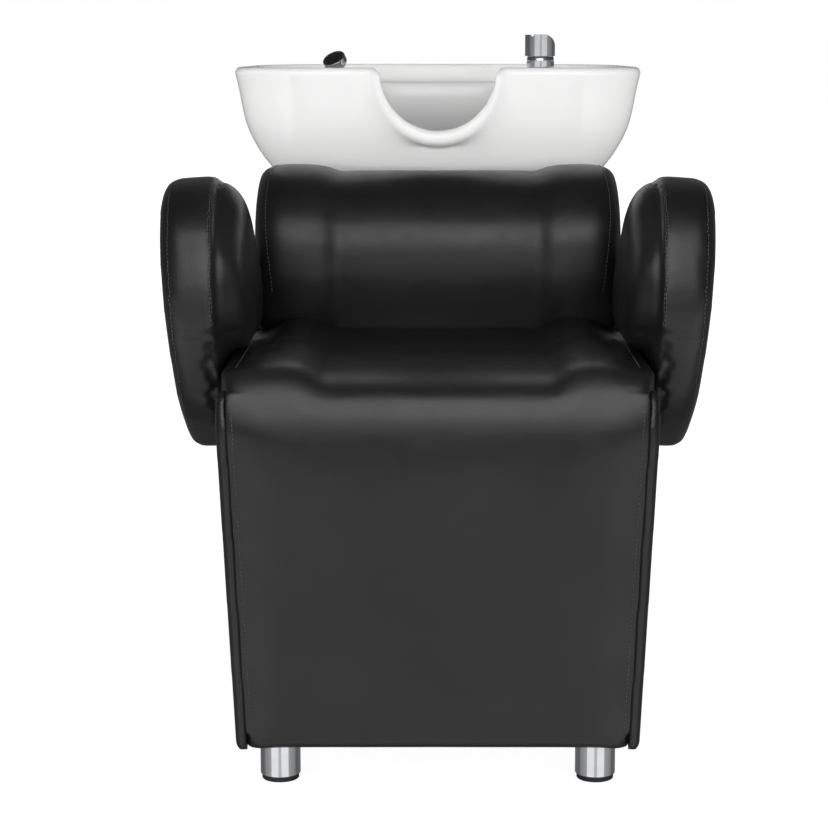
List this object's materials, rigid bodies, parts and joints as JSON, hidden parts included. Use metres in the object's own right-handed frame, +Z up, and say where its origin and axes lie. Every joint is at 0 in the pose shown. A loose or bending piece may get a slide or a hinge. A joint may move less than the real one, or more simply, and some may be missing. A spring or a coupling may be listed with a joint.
{
  "type": "salon backwash unit",
  "caption": "Black upholstered salon wash chair with flared round armrests, chrome feet and a tilting white ceramic basin with neck notch, lever mixer and hand shower.",
  "frame": {"origin": "on the floor, under the middle of the unit's width and depth", "axes": "+X to the right as the picture shows it, +Y from the apron back to the basin, +Z up"},
  "size_m": [0.7092, 1.13, 0.9154],
  "materials": {
    "black_leather": "smooth imitation leather, soft sheen",
    "white_ceramic": "glossy white glaze",
    "chrome": "polished",
    "black_rubber": "matt",
    "black_steel": "black powder coat",
    "plated_steel": "zinc plated",
    "plywood": "raw plywood",
    "black_panel": "matt black sheet",
    "white_plastic": "moulded",
    "black_plastic": "moulded",
    "brass": "turned"
  },
  "bodies": {
    "chair": {"steel_frame": "black_steel", "feet": "chrome", "foot_pads": "black_rubber", "foot_studs": "plated_steel", "apron_board": "plywood", "seat_board": "plywood", "back_board": "plywood", "back_rear_cover": "black_leather", "side_board_left": "plywood", "side_board_right": "plywood", "side_cover_left": "black_leather", "side_cover_right": "black_leather", "seat_cushion": "black_leather", "back_cushion": "black_leather", "armrest_left": "black_leather", "armrest_right": "black_leather", "armrest_board_left": "plywood", "armrest_board_right": "plywood", "armrest_bolts": "plated_steel", "bottom_cover": "black_panel", "rear_panel": "black_panel", "rear_panel_screws": "plated_steel", "column_top_board": "black_panel", "bracket_base": "black_steel", "bracket_screws": "plated_steel", "pivot_bolts": "plated_steel", "lock_stud": "plated_steel"},
    "basin": {"basin": "white_ceramic", "tilt_plate": "black_steel", "basin_pads": "black_rubber", "waste_body": "chrome", "waste_gasket": "black_rubber", "waste_nut": "white_plastic", "trap_body": "white_plastic", "trap_nut": "white_plastic", "trap_cup": "white_plastic", "mixer_gasket": "black_rubber", "mixer_body": "chrome", "mixer_shank": "brass", "mixer_washer": "plated_steel", "mixer_nut": "brass", "holder_gasket": "black_rubber", "holder_nut": "brass", "shower_holder": "chrome"},
    "mixer_dome": {"mixer_dome": "chrome", "mixer_pin": "plated_steel"},
    "mixer_handle": {"mixer_handle": "chrome", "mixer_stem": "plated_steel", "handle_screw": "plated_steel"},
    "hand_shower": {"shower_handle": "chrome", "spray_plate": "black_plastic", "hose_nut": "chrome"},
    "strainer": {"waste_strainer": "chrome"},
    "lock_knob": {"lock_knob": "black_plastic"}
  },
  "joints": [
    {"name": "basin_tilt", "type": "hinge", "parent": "chair", "child": "basin", "pos_m": [0, 0.305, 0.628], "axis": [1, 0, 0], "range_deg": [-8, 2]},
    {"name": "mixer_turn", "type": "hinge", "parent": "basin", "child": "mixer_dome", "pos_m": [0.15, 0.135, 0.8775], "axis": [0, 0, 1], "range_deg": [-50, 50]},
    {"name": "mixer_lift", "type": "hinge", "parent": "mixer_dome", "child": "mixer_handle", "pos_m": [0.15, 0.135, 0.8775], "axis": [0, 1, 0], "range_deg": [0, 20]},
    {"name": "shower_lift", "type": "slide", "parent": "basin", "child": "hand_shower", "axis": [0, 0, 1], "range_m": [0, 0.16]},
    {"name": "strainer_lift", "type": "slide", "parent": "basin", "child": "strainer", "axis": [0, 0, 1], "range_m": [0, 0.08]},
    {"name": "knob_turn", "type": "hinge", "parent": "chair", "child": "lock_knob", "pos_m": [0.1155, 0.365, 0.62], "axis": [1, 0, 0], "range_deg": [0, 270]}
  ]
}
